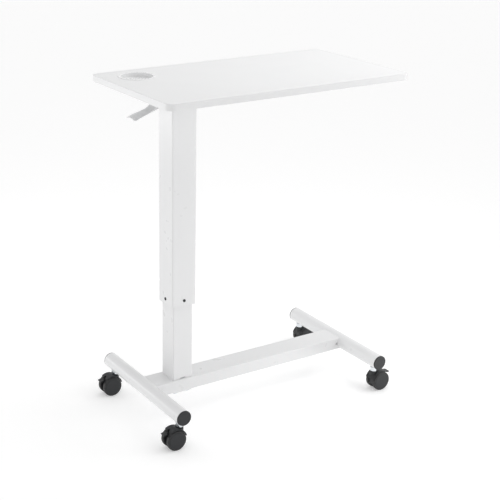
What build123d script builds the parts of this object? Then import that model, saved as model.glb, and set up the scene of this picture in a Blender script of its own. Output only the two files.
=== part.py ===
from build123d import *
import os
from math import cos, sin, radians

# Overbed table: a tabletop on one telescopic column, held by a lockable gas spring,
# on an H-shaped base with four twin-wheel casters.
# Millimetres. X runs along the tabletop, Y towards its far edge, Z up.
# The origin is on the floor, under the middle of the tabletop.
# The lift is drawn halfway up its stroke.

# ---- Tabletop ----
TOP_HEIGHT = 887
TOP_LENGTH = 710
TOP_DEPTH = 395
BOARD_THICKNESS = 17
TOP_CORNER_RADIUS = 20
EDGE_BAND_THICKNESS = 1
EDGE_BAND_ROUNDING = 0.6
BOARD_EDGE_CHAMFER = 0.4
BOARD_UNDERSIDE = TOP_HEIGHT - BOARD_THICKNESS

# ---- Cup holder ----
CUP_X = -267
CUP_Y = 114
CUP_RIM_RADIUS = 48
CUP_RADIUS = 43
CUP_WALL = 2
CUP_DEPTH = 10.5
CUP_LIP_HEIGHT = 1.2
CUP_LIP_REBATE = 0.8
CUP_FOOT_RADIUS = 1.5
CUP_FIT = 0.1

# ---- Head plate and its screws ----
COLUMN_X = -216
PLATE_THICKNESS = 4
PLATE_LENGTH = 150
PLATE_WIDTH = 110
PLATE_CORNER = 12
PLATE_BOTTOM = BOARD_UNDERSIDE - PLATE_THICKNESS
PLATE_SCREW_SPACING_X = 62
PLATE_SCREW_SPACING_Y = 42
WOOD_SCREW_RADIUS = 2.5
WOOD_SCREW_DEPTH = 11
WOOD_SCREW_HEAD_RADIUS = 5
WOOD_SCREW_HEAD_HEIGHT = 3
WOOD_SCREW_HEAD_ROUNDING = 1.8
WOOD_SCREW_RECESS_WIDTH = 4.5
WOOD_SCREW_RECESS_DEPTH = 1.6

# ---- Columns and glides ----
OUTER_SIDE = 70
INNER_SIDE = 58
TUBE_WALL = 2
OUTER_CORNER = 4
INNER_CORNER = 3.5
OUTER_BOTTOM = 310
INNER_TOP = 618
SLIDING_GAP = 0.3
LOWER_GLIDE_INSET = 1
LOWER_GLIDE_LENGTH = 40
UPPER_GLIDE_CROWN = 4
UPPER_GLIDE_SKIRT = 26
GLIDE_SCREW_HEIGHT = 325
GLIDE_SCREW_RADIUS = 2.25
GLIDE_SCREW_BITE = 3.2
GLIDE_SCREW_HEAD_RADIUS = 4
GLIDE_SCREW_HEAD_HEIGHT = 1.6
GLIDE_SCREW_HEAD_ROUNDING = 0.7
GLIDE_SCREW_RECESS_DEPTH = 0.9
OUTER_BORE = OUTER_SIDE - 2 * TUBE_WALL
INNER_BORE = INNER_SIDE - 2 * TUBE_WALL

# ---- Base ----
CROSS_TUBE_X = 311
CROSS_TUBE_RADIUS = 20
CROSS_TUBE_HALF_LENGTH = 194
CROSS_TUBE_Z = 88
END_CAP_THICKNESS = 3
END_CAP_ROUNDING = 1.6
END_CAP_PLUG_DEPTH = 10
END_CAP_PLUG_WALL = 3
RAIL_WIDTH = 68
RAIL_BOTTOM = 69
RAIL_TOP = 103
RAIL_CORNER = 2.5
DRAIN_HOLE_X = 288
DRAIN_HOLE_RADIUS = 2.4
CLAMP_PLATE_THICKNESS = 3
CLAMP_PLATE_LENGTH = 56
CLAMP_PLATE_WIDTH = 62
CLAMP_PLATE_CORNER = 4
FOOT_PLATE_THICKNESS = 6
CLAMP_BOLT_SPACING = 18
CLAMP_BOLT_RADIUS = 4
CLAMP_BOLT_HEAD_FLATS = 13
CLAMP_BOLT_HEAD_HEIGHT = 5.3
CLAMP_BOLT_POINT = 0.8
FOOT_NOTCH_WIDTH = 15
FOOT_NOTCH_HEIGHT = 3.5
CROSS_TUBE_BOTTOM = CROSS_TUBE_Z - CROSS_TUBE_RADIUS

# ---- Gas spring ----
CYLINDER_RADIUS = 14
CYLINDER_BORE = 12.5
CYLINDER_BOTTOM = 118
CYLINDER_TOP = 598
CYLINDER_FLOOR_THICKNESS = 8
STUD_RADIUS = 4
STUD_BOTTOM = RAIL_TOP + 0.5
STUD_NUT_FLATS = 13
ROD_GUIDE_HEIGHT = 14
ROD_RADIUS = 5
ROD_TOP = 843
ROD_TAIL_RADIUS = 3.5
PISTON_BOTTOM = 352
PISTON_HEIGHT = 10
PISTON_RADIUS = 12.42
RELEASE_PIN_RADIUS = 2
RELEASE_PIN_TOP = 848.9
RELEASE_PIN_DEPTH = 25
RELEASE_BORE_DEPTH = 32
CROSSBAR_BOTTOM = 829
CROSSBAR_THICKNESS = 6
CROSSBAR_WIDTH = 25
JAM_NUT_HEIGHT = 5
ROD_NUT_FLATS = 16

# ---- Release lever: a sheet arched across its width, spread at the tip and deep at the root ----
PIVOT_X = -238
PIVOT_Z = 853
LEVER_PIN_RADIUS = 3
LEVER_SHEET = 2
LEVER_ARM_HALF_WIDTH = 14
LEVER_ARM_TOP = 858
LEVER_ARM_DEPTH = 19
LEVER_ARM_LEFT = -262
LEVER_EAR_RADIUS = 6
LEVER_NOSE_X = -208
LEVER_NOSE_HALF_WIDTH = 8
LEVER_ARCH_RISE = 5
LEVER_TIP_ROUNDING = 8
PRESS_FOOT_RADIUS = 4
PRESS_FOOT_HALF_WIDTH = 6
# Stations along the crest: x, z, slope in degrees, half width, depth of the section.
LEVER_STATIONS = [
    (-349.5, 816.5, 18, 23.5, 5.5),
    (-337, 820.6, 18, 22.1, 5.7),
    (-324, 824.9, 18.5, 20.4, 6),
    (-311.5, 829, 19, 18.4, 6.5),
    (-300, 833.4, 30, 16.7, 7.7),
    (-291, 841.5, 48, 15.6, 14.4),
    (-283, 852, 38, 14.8, 20.5),
    (-273.5, 857, 20, 14.3, 20.9),
    (LEVER_ARM_LEFT, LEVER_ARM_TOP, 0, LEVER_ARM_HALF_WIDTH, LEVER_ARM_DEPTH),
]
WINDOW_BOTTOM = 836
WINDOW_TOP = 863.5
WINDOW_HALF_WIDTH = LEVER_ARM_HALF_WIDTH + 3

# ---- Lever bracket, pivot pin and clip ----
BRACKET_SHEET = 2.5
BRACKET_HALF_GAP = LEVER_ARM_HALF_WIDTH + 1
BRACKET_LENGTH = 20
BRACKET_DROP = 8
BRACKET_HALF_WIDTH = BRACKET_HALF_GAP + BRACKET_SHEET
PIN_HEAD_RADIUS = 4.8
PIN_HEAD_THICKNESS = 1.5
PIN_OVERHANG = 1.2
GROOVE_Y = BRACKET_HALF_WIDTH + 0.6
GROOVE_RADIUS = 2.2
GROOVE_WIDTH = 0.8
CLIP_RADIUS = 5.2
CLIP_THICKNESS = 0.7
CLIP_MOUTH = 3.6

# ---- Casters: the stem is at local (0, 0), the wheels trail towards local +X ----
STEM_Y = 172
TRAIL = 16
WHEEL_RADIUS = 26.5
HUB_RADIUS = 22.5
HUB_WALL = 3
HUB_BOSS_RADIUS = 7
HUB_FACE_THICKNESS = 4
HUB_ROUNDING = 1.6
WHEEL_INNER_Y = 7
WHEEL_OUTER_Y = 19
TYRE_INNER_STEP = 0.4
TYRE_OUTER_STEP = 0.8
TYRE_ROUNDING = 2.2
AXLE_RADIUS = 3
AXLE_HALF_LENGTH = 16.7
HOOD_CORE_RADIUS = 18
HOOD_CORE_HALF_WIDTH = 6.4
FENDER_INNER_RADIUS = 27.9
FENDER_OUTER_RADIUS = 30.5
FENDER_HALF_WIDTH = 16.5
FENDER_ROUNDING = 2
FENDER_END_ANGLE = 56
FENDER_BACK_ANGLE = 164
NECK_RADIUS = 10.5
NECK_BOTTOM = 34.5
NECK_ROUNDING = 0.8
HOOD_TOP = 57
COLLAR_RADIUS = 9.8
COLLAR_CHAMFER = 0.6
STEM_RADIUS = 4
STEM_PIN_LENGTH = 28
THREAD_RADIUS = 5
THREAD_LENGTH = 15
INSERT_RADIUS = 7
INSERT_LENGTH = 16

# ---- Brake pedals, in the caster's own frame: outlines are (x, z) points ----
PEDAL_PIVOT = (31, 41)
PEDAL_PIVOT_RADIUS = 2
PEDAL_TRUNNION_HALF_LENGTH = 6
PEDAL_BOSS_RADIUS = 4.4
PEDAL_ROOT_HALF_WIDTH = 3.2
PEDAL_SLOT_CLEARANCE = 0.4
PEDAL_HALF_WIDTH = 8
PEDAL_ROUNDING = 0.9
PEDAL_ROOT = [(30, 45), (36.5, 49), (42, 46), (42, 43), (33, 38)]
PEDAL_TONGUE = [(36.5, 49.2), (43, 47.2), (49, 46.2), (49.2, 43.6), (42.5, 43), (38.5, 45.8)]
PEDAL_SLOT = [(24.5, 34.5), (40, 30), (44, 60), (30, 60), (24.5, 47)]
HOOD_STEM_WEB = [(-7.5, 16), (8, 10), (12, 54), (-7.5, 54)]
HOOD_PEDAL_WEB = [(8, 30), (34, 36), (34.5, 45), (24, 54), (8, 54)]

# A shaft is this much thinner than the hole that it turns or slides in, on the radius.
RUNNING_CLEARANCE = 0.05
# A screw or bolt is this much thinner than the hole that it passes through, on the radius.
BOLT_CLEARANCE = 0.2
# A cutter passes this far beyond the faces that it cuts.
OVERCUT = 1


def save(name, *shapes):
    """Write one sub-part, as one solid or as a group of separate solids."""
    solids = [solid for shape in shapes for solid in shape.solids()]
    whole = solids[0] if len(solids) == 1 else Compound(children=solids)
    export_step(whole, f"parts/{name}.step")


def disc(radius, low, high, x=0, y=0):
    """Upright cylinder between two heights."""
    upright = Cylinder(radius, high - low, align=(Align.CENTER, Align.CENTER, Align.MIN))
    return Pos(x, y, low) * upright


def ring(outer, inner, low, high, x=0, y=0):
    return disc(outer, low, high, x, y) - disc(inner, low - OVERCUT, high + OVERCUT, x, y)


def block(length, width, low, high, x=0, y=0):
    """Box between two heights, centred on x and y."""
    box = Box(length, width, high - low, align=(Align.CENTER, Align.CENTER, Align.MIN))
    return Pos(x, y, low) * box


def hexagon(across_flats, low, high, x=0, y=0):
    flat_radius = across_flats / 2
    outline = RegularPolygon(flat_radius, 6, major_radius=False)
    return Pos(x, y, low) * extrude(outline, high - low)


def cross_rod(radius, half_length, x, z, y=0):
    """Cylinder lying along Y."""
    return Pos(x, y, z) * Rot(90, 0, 0) * Cylinder(radius, 2 * half_length)


def side_plate(points, half_width, rounding=0):
    """Solid with a closed outline in the XZ plane, spread both ways along Y."""
    outline = make_face(Polyline(*points, close=True))
    if rounding:
        outline = fillet(outline.vertices(), rounding)
    return extrude(Plane.XZ * outline, half_width, both=True)


def square_prism(side, corner, low, high):
    """Solid square bar with rounded corners on the column's axis."""
    return Pos(COLUMN_X, 0, low) * extrude(RectangleRounded(side, side, corner), high - low)


def square_tube(side, corner, low, high):
    outside = square_prism(side, corner, low, high)
    bore = square_prism(side - 2 * TUBE_WALL, corner - TUBE_WALL, low - OVERCUT, high + OVERCUT)
    return outside - bore


def cross_recess(width, depth, top, x=0, y=0):
    """Cutter for a cross-head drive, open at the given height."""
    arm = width * 0.28
    along = block(width, arm, top - depth, top + OVERCUT, x, y)
    return along + block(arm, width, top - depth, top + OVERCUT, x, y)


# ---------------------------------------------------------------- tabletop

def tabletop_blank(margin, low, high):
    outline = RectangleRounded(TOP_LENGTH - 2 * margin, TOP_DEPTH - 2 * margin, TOP_CORNER_RADIUS - margin)
    return Pos(0, 0, low) * extrude(outline, high - low)


def plate_screw_places():
    for x in (-PLATE_SCREW_SPACING_X, 0, PLATE_SCREW_SPACING_X):
        for y in (-PLATE_SCREW_SPACING_Y, PLATE_SCREW_SPACING_Y):
            yield COLUMN_X + x, y


def make_tabletop():
    """Board with a rebated pocket for the cup holder and pilot holes for the screws."""
    board = tabletop_blank(EDGE_BAND_THICKNESS, BOARD_UNDERSIDE, TOP_HEIGHT)
    board = chamfer(board.edges().group_by(Axis.Z)[-1], BOARD_EDGE_CHAMFER)
    pocket_floor = TOP_HEIGHT - CUP_DEPTH - CUP_WALL
    rebate_floor = TOP_HEIGHT - CUP_LIP_REBATE
    board -= disc(CUP_RADIUS + CUP_FIT, pocket_floor, TOP_HEIGHT + OVERCUT, CUP_X, CUP_Y)
    board -= disc(CUP_RIM_RADIUS + CUP_FIT, rebate_floor, TOP_HEIGHT + OVERCUT, CUP_X, CUP_Y)
    pilot_radius = WOOD_SCREW_RADIUS + RUNNING_CLEARANCE
    for x, y in plate_screw_places():
        pilot_top = BOARD_UNDERSIDE + WOOD_SCREW_DEPTH
        board -= disc(pilot_radius, BOARD_UNDERSIDE - OVERCUT, pilot_top, x, y)
    return board


def make_edge_band():
    """Plastic strip round the board's edge, eased along both long edges."""
    outside = tabletop_blank(0, BOARD_UNDERSIDE, TOP_HEIGHT)
    rims = outside.edges().filter_by(Plane.XY)
    outside = fillet(rims, EDGE_BAND_ROUNDING)
    return outside - tabletop_blank(EDGE_BAND_THICKNESS, BOARD_UNDERSIDE - OVERCUT, TOP_HEIGHT + OVERCUT)


def make_cup_holder():
    """Shallow moulded cup with a lip that is let into the board and stands a little proud."""
    floor = TOP_HEIGHT - CUP_DEPTH
    lip_bottom = TOP_HEIGHT - CUP_LIP_REBATE
    lip_top = TOP_HEIGHT + CUP_LIP_HEIGHT
    lip = disc(CUP_RIM_RADIUS, lip_bottom, lip_top, CUP_X, CUP_Y)
    cup = lip + disc(CUP_RADIUS, floor - CUP_WALL, lip_bottom, CUP_X, CUP_Y)
    hollow = disc(CUP_RADIUS - CUP_WALL, floor, lip_top + OVERCUT, CUP_X, CUP_Y)
    cup -= fillet(hollow.edges().group_by(Axis.Z)[0], CUP_FOOT_RADIUS)
    return fillet(cup.edges().group_by(Axis.Z)[-1], CUP_LIP_HEIGHT * 0.7)


def make_head_plate():
    outline = RectangleRounded(PLATE_LENGTH, PLATE_WIDTH, PLATE_CORNER)
    plate = Pos(COLUMN_X, 0, PLATE_BOTTOM) * extrude(outline, PLATE_THICKNESS)
    hole_radius = WOOD_SCREW_RADIUS + BOLT_CLEARANCE
    for x, y in plate_screw_places():
        plate -= disc(hole_radius, PLATE_BOTTOM - OVERCUT, BOARD_UNDERSIDE + OVERCUT, x, y)
    return plate


def make_tabletop_screws():
    """Pan-head wood screws, driven up through the head plate."""
    head_bottom = PLATE_BOTTOM - WOOD_SCREW_HEAD_HEIGHT
    shank_top = BOARD_UNDERSIDE + WOOD_SCREW_DEPTH - 1
    for x, y in plate_screw_places():
        head = disc(WOOD_SCREW_HEAD_RADIUS, head_bottom, PLATE_BOTTOM, x, y)
        head = fillet(head.edges().group_by(Axis.Z)[0], WOOD_SCREW_HEAD_ROUNDING)
        drive = cross_recess(WOOD_SCREW_RECESS_WIDTH, WOOD_SCREW_RECESS_DEPTH, head_bottom, x, y)
        drive = Pos(0, 0, 2 * head_bottom) * mirror(drive, about=Plane.XY)
        yield head - drive + disc(WOOD_SCREW_RADIUS, PLATE_BOTTOM, shank_top, x, y)


# ---------------------------------------------------------------- columns

def make_outer_column():
    """Square tube with a window near the top for the lever and holes for the glide screws."""
    tube = square_tube(OUTER_SIDE, OUTER_CORNER, OUTER_BOTTOM, PLATE_BOTTOM)
    left_wall = COLUMN_X - OUTER_SIDE / 2 + TUBE_WALL / 2
    tube -= block(3 * TUBE_WALL, 2 * WINDOW_HALF_WIDTH, WINDOW_BOTTOM, WINDOW_TOP, left_wall)
    bore = cross_rod(GLIDE_SCREW_RADIUS + RUNNING_CLEARANCE, OUTER_SIDE, COLUMN_X, GLIDE_SCREW_HEIGHT)
    turned = Pos(COLUMN_X, 0, 0) * Rot(0, 0, 90) * Pos(-COLUMN_X, 0, 0) * bore
    return tube - bore - turned


def make_lower_glide():
    """Plastic bush in the outer column's lower end, which the inner column slides in."""
    low = OUTER_BOTTOM + LOWER_GLIDE_INSET
    high = low + LOWER_GLIDE_LENGTH
    bore_side = INNER_SIDE + 2 * SLIDING_GAP
    bush = square_prism(OUTER_BORE, OUTER_CORNER - TUBE_WALL, low, high)
    bush -= square_prism(bore_side, INNER_CORNER + SLIDING_GAP, low - OVERCUT, high + OVERCUT)
    hole_radius = GLIDE_SCREW_RADIUS + RUNNING_CLEARANCE
    for place in glide_screw_places():
        bush -= place * disc(hole_radius, -GLIDE_SCREW_BITE - BOLT_CLEARANCE, OVERCUT)
    return bush


def glide_screw_places():
    """Frames on the bore faces at the screw height, with local Z pointing outwards."""
    for turn in (0, 90, 180, 270):
        outwards = Pos(COLUMN_X, 0, GLIDE_SCREW_HEIGHT) * Rot(0, 0, turn)
        yield outwards * Pos(OUTER_BORE / 2, 0, 0) * Rot(0, 90, 0)


def make_glide_screws():
    """Low pan-head screws through each wall of the outer column into the glide."""
    head_top = TUBE_WALL + GLIDE_SCREW_HEAD_HEIGHT
    for place in glide_screw_places():
        head = disc(GLIDE_SCREW_HEAD_RADIUS, TUBE_WALL, head_top)
        head = fillet(head.edges().group_by(Axis.Z)[-1], GLIDE_SCREW_HEAD_ROUNDING)
        head -= cross_recess(GLIDE_SCREW_HEAD_RADIUS, GLIDE_SCREW_RECESS_DEPTH, head_top)
        yield place * (head + disc(GLIDE_SCREW_RADIUS, -GLIDE_SCREW_BITE, TUBE_WALL))


def make_inner_column():
    """Square tube standing on the rail, notched at the middle of its front and back feet."""
    tube = square_tube(INNER_SIDE, INNER_CORNER, RAIL_TOP, INNER_TOP)
    return tube - block(FOOT_NOTCH_WIDTH, INNER_SIDE + OVERCUT, RAIL_TOP - OVERCUT,
                        RAIL_TOP + FOOT_NOTCH_HEIGHT, COLUMN_X)


def make_upper_glide():
    """Plastic cap over the inner column's top end, which slides in the outer column."""
    top = INNER_TOP + UPPER_GLIDE_CROWN
    bottom = INNER_TOP - UPPER_GLIDE_SKIRT
    glide = square_prism(OUTER_BORE - 2 * SLIDING_GAP, OUTER_CORNER - TUBE_WALL, bottom, top)
    socket_corner = INNER_CORNER + RUNNING_CLEARANCE
    glide -= square_prism(INNER_SIDE + 2 * RUNNING_CLEARANCE, socket_corner, bottom - OVERCUT, INNER_TOP)
    return glide - disc(CYLINDER_RADIUS + 2, INNER_TOP - OVERCUT, top + OVERCUT, COLUMN_X)


# ---------------------------------------------------------------- gas spring

def make_gas_spring_cylinder():
    """Steel cylinder, closed below, with a threaded stud that enters the foot plate."""
    floor = CYLINDER_BOTTOM + CYLINDER_FLOOR_THICKNESS
    cylinder = disc(CYLINDER_RADIUS, CYLINDER_BOTTOM, CYLINDER_TOP, COLUMN_X)
    cylinder -= disc(CYLINDER_BORE, floor, CYLINDER_TOP + OVERCUT, COLUMN_X)
    return cylinder + disc(STUD_RADIUS, STUD_BOTTOM, CYLINDER_BOTTOM, COLUMN_X)


def make_gas_spring_guide():
    """Rod guide and seal, pressed into the cylinder's mouth."""
    bottom = CYLINDER_TOP - ROD_GUIDE_HEIGHT
    return ring(CYLINDER_BORE, ROD_RADIUS + RUNNING_CLEARANCE, bottom, CYLINDER_TOP, COLUMN_X)


def nut(across_flats, bore_radius, low):
    """Thin hexagon nut on the column's axis."""
    high = low + JAM_NUT_HEIGHT
    body = hexagon(across_flats, low, high, COLUMN_X)
    return body - disc(bore_radius + RUNNING_CLEARANCE, low - OVERCUT, high + OVERCUT, COLUMN_X)


def make_gas_spring_nut():
    return nut(STUD_NUT_FLATS, STUD_RADIUS, RAIL_TOP + FOOT_PLATE_THICKNESS)


def make_gas_spring_rod():
    """Rod with a blind bore from its top for the release pin, and a tail for the piston."""
    shoulder = PISTON_BOTTOM + PISTON_HEIGHT
    rod = disc(ROD_RADIUS, shoulder, ROD_TOP, COLUMN_X)
    rod += disc(ROD_TAIL_RADIUS, PISTON_BOTTOM, shoulder, COLUMN_X)
    bore_floor = ROD_TOP - RELEASE_BORE_DEPTH
    return rod - disc(RELEASE_PIN_RADIUS + RUNNING_CLEARANCE, bore_floor, ROD_TOP + OVERCUT, COLUMN_X)


def make_gas_spring_piston():
    high = PISTON_BOTTOM + PISTON_HEIGHT
    return ring(PISTON_RADIUS, ROD_TAIL_RADIUS + RUNNING_CLEARANCE, PISTON_BOTTOM, high, COLUMN_X)


def make_release_pin():
    """Pin in the rod's bore. Pressing it opens the gas spring's valve."""
    return disc(RELEASE_PIN_RADIUS, ROD_TOP - RELEASE_PIN_DEPTH, RELEASE_PIN_TOP, COLUMN_X)


def make_rod_crossbar():
    """Flat bar welded across the outer column, which carries the rod's upper end."""
    high = CROSSBAR_BOTTOM + CROSSBAR_THICKNESS
    bar = block(CROSSBAR_WIDTH, OUTER_BORE, CROSSBAR_BOTTOM, high, COLUMN_X)
    return bar - disc(ROD_RADIUS + RUNNING_CLEARANCE, CROSSBAR_BOTTOM - OVERCUT, high + OVERCUT, COLUMN_X)


def make_rod_nuts():
    """Jam nuts above and below the crossbar."""
    yield nut(ROD_NUT_FLATS, ROD_RADIUS, CROSSBAR_BOTTOM - JAM_NUT_HEIGHT)
    yield nut(ROD_NUT_FLATS, ROD_RADIUS, CROSSBAR_BOTTOM + CROSSBAR_THICKNESS)


# ---------------------------------------------------------------- release lever

def arched_face(plane, half_width, depth):
    """Channel section: an arched top whose crest is at the plane's origin, over two straight sides."""
    arch = ThreePointArc((-half_width, -LEVER_ARCH_RISE), (0, 0), (half_width, -LEVER_ARCH_RISE))
    sides = Polyline((half_width, -LEVER_ARCH_RISE), (half_width, -depth),
                     (-half_width, -depth), (-half_width, -LEVER_ARCH_RISE))
    return plane * make_face(arch + sides)


def lever_loft(inset, stretch):
    """Paddle from its tip to the arm, with its surface moved in and its ends moved out."""
    faces = []
    last = len(LEVER_STATIONS) - 1
    for index, (x, z, slope, half_width, depth) in enumerate(LEVER_STATIONS):
        along = Vector(cos(radians(slope)), 0, sin(radians(slope)))
        up = Vector(-along.Z, 0, along.X)
        outwards = {0: -stretch, last: stretch}.get(index, 0)
        origin = Vector(x, 0, z) - up * inset + along * outwards
        plane = Plane(origin, x_dir=(0, 1, 0), z_dir=along)
        faces.append(arched_face(plane, half_width - inset, depth + inset))
    return loft(faces)


def lever_arm(inset, left, right):
    """Straight channel that runs from the paddle to the nose."""
    plane = Plane((left, 0, LEVER_ARM_TOP - inset), x_dir=(0, 1, 0), z_dir=(1, 0, 0))
    face = arched_face(plane, LEVER_ARM_HALF_WIDTH - inset, LEVER_ARM_DEPTH + inset)
    return extrude(face, right - left, dir=(1, 0, 0))


def lever_plan():
    """Tall prism over the whole lever that rounds the two corners of its tip."""
    tip_x, _, _, tip_half_width, _ = LEVER_STATIONS[0]
    reach = PIVOT_X - tip_x
    outline = RectangleRounded(2 * reach, 2 * tip_half_width, LEVER_TIP_ROUNDING)
    return Pos(PIVOT_X, 0, 0) * extrude(outline, PLATE_BOTTOM)


def make_release_lever():
    """Pressed-steel lever: arched paddle, channel arm with pivot ears, and a nose over the release pin."""
    lever = lever_loft(0, 0) + lever_arm(0, LEVER_ARM_LEFT, LEVER_NOSE_X)
    lever -= lever_loft(LEVER_SHEET, OVERCUT)
    lever -= lever_arm(LEVER_SHEET, LEVER_ARM_LEFT, LEVER_NOSE_X + OVERCUT)
    lever &= lever_plan()
    nose_length = LEVER_NOSE_X + OVERCUT - PIVOT_X
    side_width = LEVER_ARM_HALF_WIDTH + OVERCUT - LEVER_NOSE_HALF_WIDTH
    for side in (-1, 1):
        beside_nose = Pos(PIVOT_X + nose_length / 2, side * (LEVER_NOSE_HALF_WIDTH + side_width / 2), PIVOT_Z)
        lever -= beside_nose * Box(nose_length, side_width, 2 * LEVER_ARM_DEPTH)
    ears = cross_rod(LEVER_EAR_RADIUS, LEVER_ARM_HALF_WIDTH, PIVOT_X, PIVOT_Z)
    ears -= cross_rod(LEVER_EAR_RADIUS + OVERCUT, LEVER_ARM_HALF_WIDTH - LEVER_SHEET, PIVOT_X, PIVOT_Z)
    lever += ears
    lever += cross_rod(PRESS_FOOT_RADIUS, PRESS_FOOT_HALF_WIDTH, COLUMN_X, PIVOT_Z)
    return lever - cross_rod(LEVER_PIN_RADIUS + RUNNING_CLEARANCE, OUTER_SIDE, PIVOT_X, PIVOT_Z)


def make_lever_bracket():
    """Folded bracket under the head plate, inside the outer column, that holds the pivot pin."""
    low = PIVOT_Z - BRACKET_DROP
    inside_length = BRACKET_LENGTH + 2 * OVERCUT
    bracket = block(BRACKET_LENGTH, 2 * BRACKET_HALF_WIDTH, low, PLATE_BOTTOM, PIVOT_X)
    bracket -= block(inside_length, 2 * BRACKET_HALF_GAP, low - OVERCUT, PLATE_BOTTOM - BRACKET_SHEET, PIVOT_X)
    return bracket - cross_rod(LEVER_PIN_RADIUS + RUNNING_CLEARANCE, OUTER_SIDE, PIVOT_X, PIVOT_Z)


def make_lever_pin():
    """Headed pivot pin with a groove for its clip."""
    head_y = -BRACKET_HALF_WIDTH - PIN_HEAD_THICKNESS / 2
    shank = cross_rod(LEVER_PIN_RADIUS, BRACKET_HALF_WIDTH + PIN_OVERHANG, PIVOT_X, PIVOT_Z)
    head = cross_rod(PIN_HEAD_RADIUS, PIN_HEAD_THICKNESS / 2, PIVOT_X, PIVOT_Z, head_y)
    groove = cross_rod(LEVER_PIN_RADIUS + OVERCUT, GROOVE_WIDTH / 2, PIVOT_X, PIVOT_Z, GROOVE_Y)
    groove -= cross_rod(GROOVE_RADIUS, GROOVE_WIDTH, PIVOT_X, PIVOT_Z, GROOVE_Y)
    return shank + head - groove


def make_lever_clip():
    """E-clip in the pivot pin's groove."""
    clip = cross_rod(CLIP_RADIUS, CLIP_THICKNESS / 2, PIVOT_X, PIVOT_Z, GROOVE_Y)
    clip -= cross_rod(GROOVE_RADIUS + 0.02, CLIP_THICKNESS, PIVOT_X, PIVOT_Z, GROOVE_Y)
    return clip - block(CLIP_MOUTH, 2 * CLIP_THICKNESS, PIVOT_Z - 2 * CLIP_RADIUS, PIVOT_Z, PIVOT_X, GROOVE_Y)


# ---------------------------------------------------------------- base

def make_cross_tube(x):
    """Round tube across one end of the rail, bored below for the caster inserts."""
    tube = cross_rod(CROSS_TUBE_RADIUS, CROSS_TUBE_HALF_LENGTH, x, CROSS_TUBE_Z)
    tube -= cross_rod(CROSS_TUBE_RADIUS - TUBE_WALL, CROSS_TUBE_HALF_LENGTH + OVERCUT, x, CROSS_TUBE_Z)
    for y in (-STEM_Y, STEM_Y):
        tube -= disc(INSERT_RADIUS + RUNNING_CLEARANCE, CROSS_TUBE_BOTTOM - OVERCUT, CROSS_TUBE_Z, x, y)
    return tube


def make_base_rail():
    """Rectangular tube, coped at both ends to the round cross tubes."""
    height = RAIL_TOP - RAIL_BOTTOM
    middle = (RAIL_TOP + RAIL_BOTTOM) / 2
    section = RectangleRounded(height, RAIL_WIDTH, RAIL_CORNER)
    bore_corner = RAIL_CORNER - TUBE_WALL
    section -= RectangleRounded(height - 2 * TUBE_WALL, RAIL_WIDTH - 2 * TUBE_WALL, bore_corner)
    upright = extrude(section, CROSS_TUBE_X, both=True)
    rail = Pos(0, 0, middle) * Rot(0, 90, 0) * upright
    for x in (-CROSS_TUBE_X, CROSS_TUBE_X):
        rail -= cross_rod(CROSS_TUBE_RADIUS, RAIL_WIDTH, x, CROSS_TUBE_Z)
    for x in (-DRAIN_HOLE_X, DRAIN_HOLE_X):
        rail -= cross_rod(DRAIN_HOLE_RADIUS, TUBE_WALL + OVERCUT, x, middle, -RAIL_WIDTH / 2)
    for x, y in clamp_bolt_places():
        rail -= disc(CLAMP_BOLT_RADIUS + BOLT_CLEARANCE, RAIL_BOTTOM - OVERCUT, RAIL_TOP + OVERCUT, x, y)
    return rail


def make_tube_end_caps():
    """Plastic plugs in the ends of the cross tubes."""
    plug_radius = CROSS_TUBE_RADIUS - TUBE_WALL
    for x in (-CROSS_TUBE_X, CROSS_TUBE_X):
        for side in (-1, 1):
            outwards = Pos(x, side * CROSS_TUBE_HALF_LENGTH, CROSS_TUBE_Z) * Rot(-90 * side, 0, 0)
            face = disc(CROSS_TUBE_RADIUS, 0, END_CAP_THICKNESS)
            face = fillet(face.edges().group_by(Axis.Z)[-1], END_CAP_ROUNDING)
            plug = ring(plug_radius, plug_radius - END_CAP_PLUG_WALL, -END_CAP_PLUG_DEPTH, 0)
            yield outwards * (face + plug)


def clamp_bolt_places():
    for x in (-CLAMP_BOLT_SPACING, CLAMP_BOLT_SPACING):
        for y in (-CLAMP_BOLT_SPACING, CLAMP_BOLT_SPACING):
            yield COLUMN_X + x, y


def make_foot_plate():
    """Square plate welded inside the inner column's foot, tapped for the clamp bolts."""
    high = RAIL_TOP + FOOT_PLATE_THICKNESS
    plate = square_prism(INNER_BORE, INNER_CORNER - TUBE_WALL, RAIL_TOP, high)
    plate -= disc(STUD_RADIUS + RUNNING_CLEARANCE, RAIL_TOP - OVERCUT, high + OVERCUT, COLUMN_X)
    for x, y in clamp_bolt_places():
        plate -= disc(CLAMP_BOLT_RADIUS + RUNNING_CLEARANCE, RAIL_TOP - OVERCUT, high + OVERCUT, x, y)
    return plate


def make_clamp_plate():
    """Plate under the rail that spreads the clamp bolts' load."""
    low = RAIL_BOTTOM - CLAMP_PLATE_THICKNESS
    outline = RectangleRounded(CLAMP_PLATE_LENGTH, CLAMP_PLATE_WIDTH, CLAMP_PLATE_CORNER)
    plate = Pos(COLUMN_X, 0, low) * extrude(outline, CLAMP_PLATE_THICKNESS)
    for x, y in clamp_bolt_places():
        plate -= disc(CLAMP_BOLT_RADIUS + BOLT_CLEARANCE, low - OVERCUT, RAIL_BOTTOM + OVERCUT, x, y)
    return plate


def make_clamp_bolts():
    """Hexagon bolts up through the clamp plate and rail into the foot plate."""
    seat = RAIL_BOTTOM - CLAMP_PLATE_THICKNESS
    for x, y in clamp_bolt_places():
        head = hexagon(CLAMP_BOLT_HEAD_FLATS, seat - CLAMP_BOLT_HEAD_HEIGHT, seat, x, y)
        shank = disc(CLAMP_BOLT_RADIUS, seat, RAIL_TOP + FOOT_PLATE_THICKNESS + CLAMP_BOLT_POINT, x, y)
        yield head + chamfer(shank.edges().group_by(Axis.Z)[-1], CLAMP_BOLT_POINT)


# ---------------------------------------------------------------- casters

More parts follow.
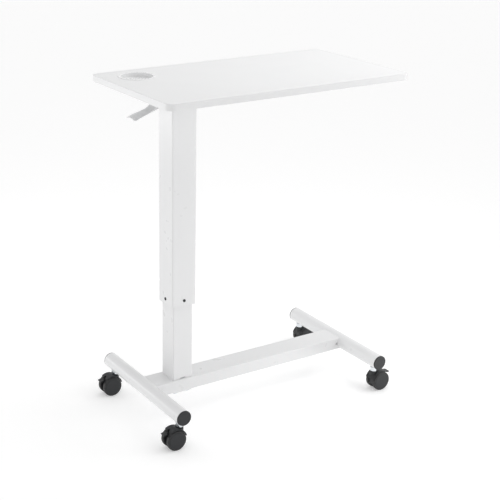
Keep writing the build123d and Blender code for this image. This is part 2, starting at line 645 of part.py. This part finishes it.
def stem_places():
    for x in (-CROSS_TUBE_X, CROSS_TUBE_X):
        for y in (-STEM_Y, STEM_Y):
            yield x, y


def make_stem_inserts():
    """Threaded inserts in the cross tubes' lower walls."""
    for x, y in stem_places():
        top = CROSS_TUBE_BOTTOM + INSERT_LENGTH
        yield ring(INSERT_RADIUS, THREAD_RADIUS + RUNNING_CLEARANCE, CROSS_TUBE_BOTTOM, top, x, y)


def make_caster_stems():
    """Plated stems: a thread above, a round collar under the tube, a plain pin below."""
    for x, y in stem_places():
        collar = disc(COLLAR_RADIUS, HOOD_TOP + RUNNING_CLEARANCE, CROSS_TUBE_BOTTOM, x, y)
        collar = chamfer(collar.edges().group_by(Axis.Z)[0], COLLAR_CHAMFER)
        thread = disc(THREAD_RADIUS, CROSS_TUBE_BOTTOM, CROSS_TUBE_BOTTOM + THREAD_LENGTH, x, y)
        pin = disc(STEM_RADIUS, HOOD_TOP - STEM_PIN_LENGTH, HOOD_TOP + 1, x, y)
        yield collar + thread + pin


def axle_disc(radius, half_width):
    """Disc about the axle, in the caster's own frame."""
    return cross_rod(radius, half_width, TRAIL, WHEEL_RADIUS)


def make_hood():
    """Moulded caster body: a core between the wheels, a neck, and a fender over the wheels."""
    reach = 3 * FENDER_OUTER_RADIUS
    fan = [(TRAIL, WHEEL_RADIUS)]
    for angle in (FENDER_END_ANGLE, 90, 127, FENDER_BACK_ANGLE):
        fan.append((TRAIL + reach * cos(radians(angle)), WHEEL_RADIUS + reach * sin(radians(angle))))
    fender = axle_disc(FENDER_OUTER_RADIUS, FENDER_HALF_WIDTH)
    fender = fillet(fender.edges().filter_by(GeomType.CIRCLE), FENDER_ROUNDING)
    fender &= side_plate(fan, FENDER_HALF_WIDTH + OVERCUT)
    neck = disc(NECK_RADIUS, NECK_BOTTOM, HOOD_TOP)
    neck = fillet(neck.edges().group_by(Axis.Z)[-1], NECK_ROUNDING)
    shell = fender + neck - axle_disc(FENDER_INNER_RADIUS, FENDER_HALF_WIDTH + OVERCUT)
    core = axle_disc(HOOD_CORE_RADIUS, HOOD_CORE_HALF_WIDTH)
    core += side_plate(HOOD_STEM_WEB, HOOD_CORE_HALF_WIDTH)
    core += side_plate(HOOD_PEDAL_WEB, HOOD_CORE_HALF_WIDTH)
    hood = shell + core
    hood -= disc(STEM_RADIUS + RUNNING_CLEARANCE, HOOD_TOP - STEM_PIN_LENGTH - 1, HOOD_TOP + OVERCUT)
    hood -= axle_disc(AXLE_RADIUS, HOOD_CORE_HALF_WIDTH + OVERCUT)
    hood -= side_plate(PEDAL_SLOT, PEDAL_ROOT_HALF_WIDTH + PEDAL_SLOT_CLEARANCE)
    return hood - cross_rod(PEDAL_PIVOT_RADIUS + RUNNING_CLEARANCE, HOOD_CORE_HALF_WIDTH + OVERCUT, *PEDAL_PIVOT)


def make_pedal():
    """Brake pedal: a narrow root on trunnions in the hood, and a wider tongue for the toe."""
    trunnions = cross_rod(PEDAL_PIVOT_RADIUS, PEDAL_TRUNNION_HALF_LENGTH, *PEDAL_PIVOT)
    boss = cross_rod(PEDAL_BOSS_RADIUS, PEDAL_ROOT_HALF_WIDTH, *PEDAL_PIVOT)
    root = side_plate(PEDAL_ROOT, PEDAL_ROOT_HALF_WIDTH)
    tongue = side_plate(PEDAL_TONGUE, PEDAL_HALF_WIDTH, PEDAL_ROUNDING)
    return trunnions + boss + root + tongue


def wheel_along(shape, side):
    """Turn a shape built along +Z so that it runs outwards along Y from the axle."""
    return Pos(TRAIL, 0, WHEEL_RADIUS) * Rot(-90 * side, 0, 0) * shape


def make_wheel_disc(side):
    """Hub and disc, flat outside, hollow inside, with a blind bore for the axle."""
    hub = disc(HUB_RADIUS, WHEEL_INNER_Y, WHEEL_OUTER_Y)
    hub = fillet(hub.edges().group_by(Axis.Z)[-1], HUB_ROUNDING)
    face = WHEEL_OUTER_Y - HUB_FACE_THICKNESS
    hub -= ring(HUB_RADIUS - HUB_WALL, HUB_BOSS_RADIUS, WHEEL_INNER_Y - OVERCUT, face)
    hub -= disc(AXLE_RADIUS + RUNNING_CLEARANCE, WHEEL_INNER_Y - OVERCUT, AXLE_HALF_LENGTH + 0.3)
    return wheel_along(hub, side)


def make_tyre(side):
    low = WHEEL_INNER_Y + TYRE_INNER_STEP
    high = WHEEL_OUTER_Y - TYRE_OUTER_STEP
    tread = disc(WHEEL_RADIUS, low, high)
    tread = fillet(tread.edges(), TYRE_ROUNDING)
    return wheel_along(tread - disc(HUB_RADIUS, low - OVERCUT, high + OVERCUT), side)


def make_axle():
    return axle_disc(AXLE_RADIUS, AXLE_HALF_LENGTH)


def save_casters():
    """Four casters. The left pair trails to the left, the right pair to the right."""
    for x_name, x_side in (("left", -1), ("right", 1)):
        for y_name, y_side in (("front", -1), ("rear", 1)):
            turn = 0 if x_side == 1 else 180
            place = Pos(x_side * CROSS_TUBE_X, y_side * STEM_Y, 0) * Rot(0, 0, turn)
            caster = f"{y_name}_{x_name}_caster"
            save(f"{caster}_hood", place * make_hood())
            save(f"{caster}_axle", place * make_axle())
            save(f"{caster}_pedal", place * make_pedal())
            for wheel_name, outboard in (("outer", 1), ("inner", -1)):
                local_side = outboard * y_side * x_side
                save(f"{caster}_{wheel_name}_wheel", place * make_wheel_disc(local_side))
                save(f"{caster}_{wheel_name}_tyre", place * make_tyre(local_side))


os.makedirs("parts", exist_ok=True)

save("tabletop", make_tabletop())
save("edge_band", make_edge_band())
save("cup_holder", make_cup_holder())
save("head_plate", make_head_plate())
save("tabletop_screws", *make_tabletop_screws())
save("outer_column", make_outer_column())
save("lower_glide", make_lower_glide())
save("glide_screws", *make_glide_screws())
save("inner_column", make_inner_column())
save("upper_glide", make_upper_glide())

save("gas_spring_cylinder", make_gas_spring_cylinder())
save("gas_spring_guide", make_gas_spring_guide())
save("gas_spring_nut", make_gas_spring_nut())
save("gas_spring_rod", make_gas_spring_rod())
save("gas_spring_piston", make_gas_spring_piston())
save("release_pin", make_release_pin())
save("rod_crossbar", make_rod_crossbar())
save("rod_nuts", *make_rod_nuts())

save("release_lever", make_release_lever())
save("lever_bracket", make_lever_bracket())
save("lever_pin", make_lever_pin())
save("lever_clip", make_lever_clip())

save("left_cross_tube", make_cross_tube(-CROSS_TUBE_X))
save("right_cross_tube", make_cross_tube(CROSS_TUBE_X))
save("base_rail", make_base_rail())
save("tube_end_caps", *make_tube_end_caps())
save("foot_plate", make_foot_plate())
save("clamp_plate", make_clamp_plate())
save("clamp_bolts", *make_clamp_bolts())
save("stem_inserts", *make_stem_inserts())
save("caster_stems", *make_caster_stems())
save_casters()
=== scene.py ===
import math
import bpy
from mathutils import Matrix, Vector


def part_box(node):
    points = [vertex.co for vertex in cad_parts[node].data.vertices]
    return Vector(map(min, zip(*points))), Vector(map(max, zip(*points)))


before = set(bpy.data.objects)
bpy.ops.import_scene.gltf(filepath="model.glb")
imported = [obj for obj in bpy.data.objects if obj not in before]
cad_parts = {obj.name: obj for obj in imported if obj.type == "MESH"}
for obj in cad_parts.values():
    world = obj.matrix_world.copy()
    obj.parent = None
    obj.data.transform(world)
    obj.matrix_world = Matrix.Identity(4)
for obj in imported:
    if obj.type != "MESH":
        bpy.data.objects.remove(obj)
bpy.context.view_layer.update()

TOP_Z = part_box("tabletop")[1].z

# ---------------------------------------------------------------- what the materials are made of

WHITE_PAINT = (0.80, 0.802, 0.806)
LEVER_PAINT = (0.70, 0.704, 0.71)
LAMINATE = (0.84, 0.842, 0.845)
EDGE_STRIP = (0.80, 0.802, 0.805)
MOULDED_WHITE = (0.87, 0.872, 0.875)
MOULDED_BLACK = (0.022, 0.023, 0.025)
CASTER_BLACK = (0.018, 0.019, 0.021)
TYRE_BLACK = (0.016, 0.016, 0.017)
BLACK_STEEL = (0.02, 0.02, 0.021)
ACETAL = (0.02, 0.02, 0.022)
ZINC = (0.74, 0.77, 0.80)
STEEL = (0.56, 0.57, 0.58)
CHROME = (0.80, 0.81, 0.82)

MICRON = 1e-6
NOISE_LOW = 0.3
NOISE_HIGH = 0.7

# ---------------------------------------------------------------- how bright the room is

WALL_LIGHT = 0.97
LIGHT_SLOPE = (0.08, 0.10, -0.43)
FLOOR_WHITE = (0.82, 0.82, 0.82)
FLOOR_GLOW = 0.3
FLOOR_ROUGHNESS = 0.7
FLOOR_GLOSS = 0.2
FLOOR_REACH = 40
SUN_STRENGTH = 0.35
SUN_SOFTNESS = math.radians(60)
SUN_TILT = math.radians(8)

# ---------------------------------------------------------------- where the camera stands

SENSOR_WIDTH = 36
LENS = 85.32
SHIFT_X = 0.13
SHIFT_Y = -0.0954
CAMERA_PLACE = (-1.663, -2.4451, TOP_Z + 0.6101)
CAMERA_YAW = math.radians(31.0)
CAMERA_PITCH = math.radians(17.89)
CAMERA_ROLL = math.radians(0.245)


# ---------------------------------------------------------------- material helpers

def new_material(name, colour, metallic=0.0, gloss=0.5):
    """A principled material, with its node tree and shader at hand."""
    material = bpy.data.materials.new(name)
    material.use_nodes = True
    tree = material.node_tree
    shader = tree.nodes["Principled BSDF"]
    shader.inputs["Base Color"].default_value = (*colour, 1)
    shader.inputs["Metallic"].default_value = metallic
    shader.inputs["Specular IOR Level"].default_value = gloss
    return material, tree, shader


def add_noise(tree, per_metre, detail=2.0, stretch=(1, 1, 1)):
    """Noise fixed to the object. A stretch above 1 packs its grains closer on that axis."""
    place = tree.nodes.new("ShaderNodeTexCoord")
    mapping = tree.nodes.new("ShaderNodeMapping")
    mapping.inputs["Scale"].default_value = stretch
    noise = tree.nodes.new("ShaderNodeTexNoise")
    noise.inputs["Scale"].default_value = per_metre
    noise.inputs["Detail"].default_value = detail
    tree.links.new(place.outputs["Object"], mapping.inputs["Vector"])
    tree.links.new(mapping.outputs["Vector"], noise.inputs["Vector"])
    return noise.outputs["Fac"]


def vary_colour(tree, shader, fac, colour, spread):
    """Lightens and darkens the base colour by a fraction, following the noise."""
    ramp = tree.nodes.new("ShaderNodeValToRGB")
    ramp.color_ramp.elements[0].position = NOISE_LOW
    ramp.color_ramp.elements[0].color = (*[c * (1 - spread) for c in colour], 1)
    ramp.color_ramp.elements[1].position = NOISE_HIGH
    ramp.color_ramp.elements[1].color = (*[min(1, c * (1 + spread)) for c in colour], 1)
    tree.links.new(fac, ramp.inputs["Fac"])
    tree.links.new(ramp.outputs["Color"], shader.inputs["Base Color"])


def vary_roughness(tree, shader, fac, low, high):
    """Runs the roughness between two values, following the noise."""
    spread = tree.nodes.new("ShaderNodeMapRange")
    spread.inputs["From Min"].default_value = NOISE_LOW
    spread.inputs["From Max"].default_value = NOISE_HIGH
    spread.inputs["To Min"].default_value = low
    spread.inputs["To Max"].default_value = high
    tree.links.new(fac, spread.inputs["Value"])
    tree.links.new(spread.outputs["Result"], shader.inputs["Roughness"])


def add_bumps(tree, shader, *layers):
    """Stacks bump layers, each a noise and its depth in metres, coarse one first."""
    normal = None
    for fac, depth in layers:
        bump = tree.nodes.new("ShaderNodeBump")
        bump.inputs["Distance"].default_value = depth
        tree.links.new(fac, bump.inputs["Height"])
        if normal:
            tree.links.new(normal, bump.inputs["Normal"])
        normal = bump.outputs["Normal"]
    tree.links.new(normal, shader.inputs["Normal"])


# ---------------------------------------------------------------- materials

def powder_coat(name, colour):
    """Satin powder coat: a faint orange peel, and a slow drift in the gloss."""
    material, tree, shader = new_material(name, colour)
    vary_colour(tree, shader, add_noise(tree, 9), colour, 0.008)
    vary_roughness(tree, shader, add_noise(tree, 30), 0.27, 0.34)
    add_bumps(tree, shader, (add_noise(tree, 500, 1), 14 * MICRON), (add_noise(tree, 1600, 2), 4 * MICRON))
    return material


def laminate():
    """White laminate pressed with a fine pearl grain."""
    material, tree, shader = new_material("tabletop_laminate", LAMINATE)
    vary_colour(tree, shader, add_noise(tree, 700, 3), LAMINATE, 0.012)
    vary_roughness(tree, shader, add_noise(tree, 14), 0.38, 0.46)
    add_bumps(tree, shader, (add_noise(tree, 900, 3), 16 * MICRON))
    return material


def edge_strip():
    """Extruded plastic strip, drawn out along its length."""
    material, tree, shader = new_material("edge_band", EDGE_STRIP)
    vary_colour(tree, shader, add_noise(tree, 12), EDGE_STRIP, 0.004)
    vary_roughness(tree, shader, add_noise(tree, 60, 2, stretch=(1, 1, 12)), 0.38, 0.44)
    add_bumps(tree, shader, (add_noise(tree, 120, 3, stretch=(1, 1, 14)), 3 * MICRON))
    return material


def moulded(name, colour, low, high, grain=1400, depth=10, spread=0.02, gloss=0.5):
    """Moulded plastic with a spark-eroded grain."""
    material, tree, shader = new_material(name, colour, gloss=gloss)
    vary_colour(tree, shader, add_noise(tree, 40), colour, spread)
    vary_roughness(tree, shader, add_noise(tree, 220, 3), low, high)
    add_bumps(tree, shader, (add_noise(tree, grain, 3), depth * MICRON))
    return material


def tyre():
    """Polyurethane tread, matt, with a little dust in its grain."""
    material, tree, shader = new_material("tyre", TYRE_BLACK)
    vary_colour(tree, shader, add_noise(tree, 260, 4), TYRE_BLACK, 0.35)
    vary_roughness(tree, shader, add_noise(tree, 120, 3), 0.48, 0.64)
    add_bumps(tree, shader, (add_noise(tree, 900, 3), 14 * MICRON))
    return material


def plated(name, colour, low, high, spread=0.05):
    """Plated or bare metal with faint machining marks."""
    material, tree, shader = new_material(name, colour, metallic=1.0)
    vary_colour(tree, shader, add_noise(tree, 60, 3), colour, spread)
    vary_roughness(tree, shader, add_noise(tree, 180, 3), low, high)
    add_bumps(tree, shader, (add_noise(tree, 700, 3), 6 * MICRON))
    return material


MATERIALS = {
    "white_steel": powder_coat("white_steel", WHITE_PAINT),
    "lever_paint": powder_coat("lever_paint", LEVER_PAINT),
    "black_steel": powder_coat("black_steel", BLACK_STEEL),
    "bare_steel": plated("bare_steel", STEEL, 0.3, 0.45),
    "tabletop_laminate": laminate(),
    "edge_band": edge_strip(),
    "white_plastic": moulded("white_plastic", MOULDED_WHITE, 0.24, 0.30, depth=2, spread=0.004),
    "black_plastic": moulded("black_plastic", MOULDED_BLACK, 0.42, 0.52, gloss=0.38),
    "caster_plastic": moulded("caster_plastic", CASTER_BLACK, 0.38, 0.50, gloss=0.38),
    "tyre": tyre(),
    "glide_plastic": moulded("glide_plastic", ACETAL, 0.3, 0.4),
    "zinc": plated("zinc", ZINC, 0.16, 0.28),
    "chrome_rod": plated("chrome_rod", CHROME, 0.06, 0.12, spread=0.02),
}


def dress(piece):
    """Swaps every packed material of a piece for the finished one of the same slot."""
    for slot in piece.material_slots:
        slot.material = MATERIALS[slot.material.name.split(".")[0]]


# ---------------------------------------------------------------- camera, light and floor

def aim(place, target):
    """The turn that points a lamp from its place to its target."""
    return (Vector(target) - Vector(place)).to_track_quat("-Z", "Y")


def make_camera():
    """Long lens above the tabletop, before its front left corner, shifted to centre the table."""
    data = bpy.data.cameras.new("camera")
    data.sensor_width = SENSOR_WIDTH
    data.lens = LENS
    data.shift_x = SHIFT_X
    data.shift_y = SHIFT_Y
    camera = bpy.data.objects.new("camera", data)
    bpy.context.collection.objects.link(camera)
    level = math.cos(CAMERA_PITCH)
    forward = Vector((math.sin(CAMERA_YAW) * level, math.cos(CAMERA_YAW) * level, -math.sin(CAMERA_PITCH)))
    turn = forward.to_track_quat("-Z", "Y").to_matrix().to_4x4()
    place = Matrix.Translation(CAMERA_PLACE)
    camera.matrix_world = place @ turn @ Matrix.Rotation(CAMERA_ROLL, 4, "Z")
    bpy.context.scene.camera = camera


def make_area_light(name, place, target, size, power):
    """A soft box, aimed at a point."""
    data = bpy.data.lights.new(name, "AREA")
    data.shape = "RECTANGLE"
    data.size, data.size_y = size
    data.energy = power
    light = bpy.data.objects.new(name, data)
    bpy.context.collection.objects.link(light)
    light.location = place
    light.rotation_mode = "QUATERNION"
    light.rotation_quaternion = aim(place, target)


def make_world():
    """A white room, dimmer towards its ceiling than at its walls, and a little dimmer behind the camera."""
    world = bpy.data.worlds.new("studio")
    world.use_nodes = True
    tree = world.node_tree
    background = tree.nodes["Background"]
    background.inputs["Color"].default_value = (1, 1, 1, 1)
    direction = tree.nodes.new("ShaderNodeTexCoord")
    slope = tree.nodes.new("ShaderNodeVectorMath")
    slope.operation = "DOT_PRODUCT"
    slope.inputs[1].default_value = LIGHT_SLOPE
    total = tree.nodes.new("ShaderNodeMath")
    total.inputs[1].default_value = WALL_LIGHT
    tree.links.new(direction.outputs["Generated"], slope.inputs[0])
    tree.links.new(slope.outputs["Value"], total.inputs[0])
    tree.links.new(total.outputs["Value"], background.inputs["Strength"])
    bpy.context.scene.world = world


def make_lights():
    """Soft light from above, boxes over and before the right half, and strips at two sides of the base."""
    overhead = bpy.data.lights.new("overhead", "SUN")
    overhead.energy = SUN_STRENGTH
    overhead.angle = SUN_SOFTNESS
    overhead_light = bpy.data.objects.new("overhead", overhead)
    overhead_light.rotation_euler = (0, SUN_TILT, 0)
    bpy.context.collection.objects.link(overhead_light)
    make_area_light("right_box", (0.75, -0.2, TOP_Z + 0.95), (0.2, 0, TOP_Z), (0.9, 0.9), 5)
    make_area_light("front_box", (0.95, -0.65, 0.6), (0.42, -0.25, 0.4), (0.4, 0.4), 1.5)
    make_area_light("front_strip", (0.62, -0.62, 0.03), (0.327, -0.19, 0.04), (0.3, 0.04), 0.7)
    make_area_light("back_strip", (-1.45, 1.36, 0.45), (-0.311, 0, 0.09), (1.2, 0.12), 4)


def make_floor():
    """White floor that can be seen through from below, so that the underside can be looked at."""
    signs = ((-1, -1), (1, -1), (1, 1), (-1, 1))
    corners = [(FLOOR_REACH * x, FLOOR_REACH * y, 0) for x, y in signs]
    mesh = bpy.data.meshes.new("floor")
    mesh.from_pydata(corners, [], [(0, 1, 2, 3)])
    floor = bpy.data.objects.new("floor", mesh)
    bpy.context.collection.objects.link(floor)
    material, tree, shader = new_material("floor_paint", FLOOR_WHITE, gloss=FLOOR_GLOSS)
    shader.inputs["Roughness"].default_value = FLOOR_ROUGHNESS
    shader.inputs["Emission Color"].default_value = (1, 1, 1, 1)
    shader.inputs["Emission Strength"].default_value = FLOOR_GLOW
    geometry = tree.nodes.new("ShaderNodeNewGeometry")
    clear = tree.nodes.new("ShaderNodeBsdfTransparent")
    mix = tree.nodes.new("ShaderNodeMixShader")
    tree.links.new(geometry.outputs["Backfacing"], mix.inputs["Fac"])
    tree.links.new(shader.outputs["BSDF"], mix.inputs[1])
    tree.links.new(clear.outputs["BSDF"], mix.inputs[2])
    tree.links.new(mix.outputs["Shader"], tree.nodes["Material Output"].inputs["Surface"])
    mesh.materials.append(material)


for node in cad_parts.values():
    dress(node)

bpy.context.scene.view_settings.view_transform = "Standard"
make_camera()
make_world()
make_lights()
make_floor()
